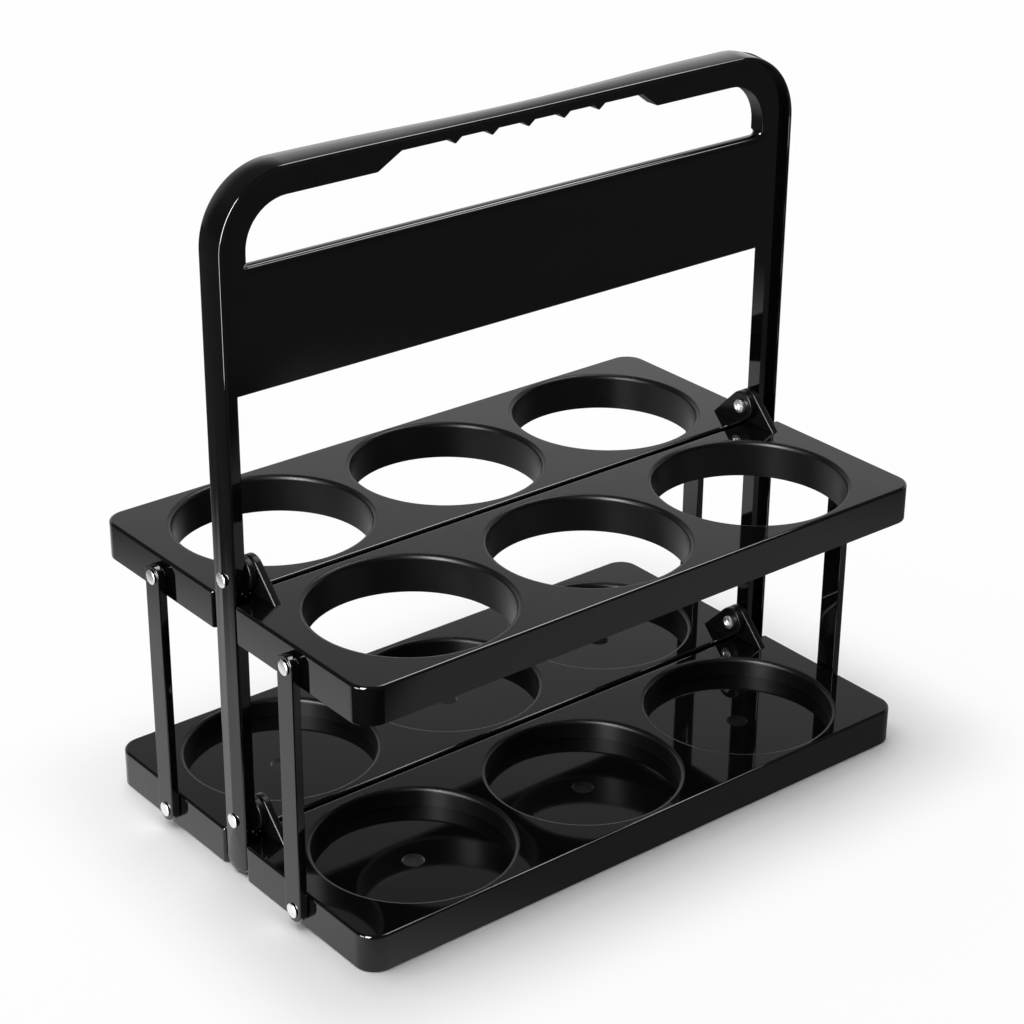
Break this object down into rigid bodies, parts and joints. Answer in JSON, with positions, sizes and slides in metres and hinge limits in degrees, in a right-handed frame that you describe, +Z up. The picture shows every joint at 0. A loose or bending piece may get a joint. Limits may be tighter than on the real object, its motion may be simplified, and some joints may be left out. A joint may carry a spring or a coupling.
{
  "type": "folding cup carrier",
  "caption": "Folding carrier that holds takeaway cups in hinged trays on two levels under an upright handle with a finger grip.",
  "frame": {"origin": "under the middle of the carrier, on the surface that the lower trays rest on", "axes": "+X along the carrier to the right, +Y across it to the back, +Z up"},
  "size_m": [0.3198, 0.1974, 0.3173],
  "materials": {
    "handle_plastic": "glossy black moulded plastic",
    "tray_plastic": "glossy black moulded plastic",
    "link_plastic": "glossy black moulded plastic",
    "rivet_steel": "bright plated steel"
  },
  "bodies": {
    "handle": {"handle": "handle_plastic", "hinge_pin_upper_left": "rivet_steel", "hinge_pin_upper_right": "rivet_steel", "hinge_pin_lower_left": "rivet_steel", "hinge_pin_lower_right": "rivet_steel"},
    "lower_front": {"lower_front_tray": "tray_plastic", "link_rivet_lower_front_left": "rivet_steel", "link_rivet_lower_front_right": "rivet_steel"},
    "upper_front": {"upper_front_tray": "tray_plastic", "link_rivet_upper_front_left": "rivet_steel", "link_rivet_upper_front_right": "rivet_steel"},
    "lower_back": {"lower_back_tray": "tray_plastic", "link_rivet_lower_back_left": "rivet_steel", "link_rivet_lower_back_right": "rivet_steel"},
    "upper_back": {"upper_back_tray": "tray_plastic", "link_rivet_upper_back_left": "rivet_steel", "link_rivet_upper_back_right": "rivet_steel"},
    "link_front_left": {"link_front_left": "link_plastic"},
    "link_front_right": {"link_front_right": "link_plastic"},
    "link_back_left": {"link_back_left": "link_plastic"},
    "link_back_right": {"link_back_right": "link_plastic"}
  },
  "joints": [
    {"name": "lower_front_fold", "type": "hinge", "parent": "handle", "child": "lower_front", "pos_m": [0, 0, 0.0264], "axis": [-1, 0, 0], "range_deg": [0, 90]},
    {"name": "upper_front_fold", "type": "hinge", "parent": "handle", "child": "upper_front", "pos_m": [0, 0, 0.1429], "axis": [-1, 0, 0], "range_deg": [0, 90]},
    {"name": "lower_back_fold", "type": "hinge", "parent": "handle", "child": "lower_back", "pos_m": [0, 0, 0.0264], "axis": [1, 0, 0], "range_deg": [0, 90]},
    {"name": "upper_back_fold", "type": "hinge", "parent": "handle", "child": "upper_back", "pos_m": [0, 0, 0.1429], "axis": [1, 0, 0], "range_deg": [0, 90]},
    {"name": "link_front_left_pivot", "type": "hinge", "parent": "lower_front", "child": "link_front_left", "pos_m": [-0.1566, -0.05, 0.00875], "axis": [-1, 0, 0], "range_deg": [-90, 0]},
    {"name": "link_front_right_pivot", "type": "hinge", "parent": "lower_front", "child": "link_front_right", "pos_m": [0.1566, -0.05, 0.00875], "axis": [-1, 0, 0], "range_deg": [-90, 0]},
    {"name": "link_back_left_pivot", "type": "hinge", "parent": "lower_back", "child": "link_back_left", "pos_m": [-0.1566, 0.05, 0.00875], "axis": [1, 0, 0], "range_deg": [-90, 0]},
    {"name": "link_back_right_pivot", "type": "hinge", "parent": "lower_back", "child": "link_back_right", "pos_m": [0.1566, 0.05, 0.00875], "axis": [1, 0, 0], "range_deg": [-90, 0]}
  ],
  "couplings": [
    {"joint": "upper_front_fold", "follows": "lower_front_fold", "ratio": 1},
    {"joint": "link_front_left_pivot", "follows": "lower_front_fold", "ratio": -1},
    {"joint": "link_front_right_pivot", "follows": "lower_front_fold", "ratio": -1},
    {"joint": "upper_back_fold", "follows": "lower_back_fold", "ratio": 1},
    {"joint": "link_back_left_pivot", "follows": "lower_back_fold", "ratio": -1},
    {"joint": "link_back_right_pivot", "follows": "lower_back_fold", "ratio": -1}
  ]
}
